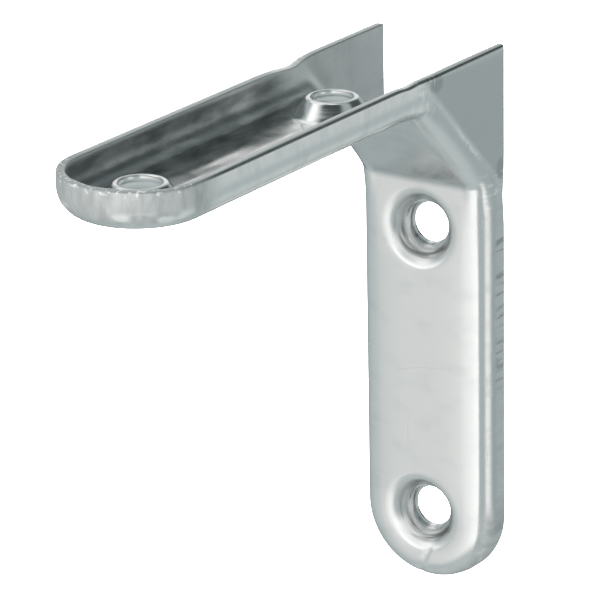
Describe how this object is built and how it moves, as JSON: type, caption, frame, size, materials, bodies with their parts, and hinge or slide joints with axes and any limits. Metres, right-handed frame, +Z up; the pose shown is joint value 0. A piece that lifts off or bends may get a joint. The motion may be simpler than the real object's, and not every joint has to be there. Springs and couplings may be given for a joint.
{
  "type": "angle bracket",
  "caption": "Pressed steel angle bracket with tray-shaped legs, rounded ends, a sloping corner web and flared screw holes, for fixing a board to a wall.",
  "frame": {"origin": "outer corner of the bracket, on its mid-plane, where the wall plane meets the plane of the shelf's underside", "axes": "+X away from the wall along the shelf leg, +Y across the bracket, +Z up; the wall leg runs down along -Z"},
  "size_m": [0.076, 0.02, 0.076],
  "materials": {
    "zinc_plated_steel": "bright zinc plating, satin, with faint press marks"
  },
  "bodies": {
    "root": {"angle_bracket": "zinc_plated_steel"}
  },
  "joints": []
}
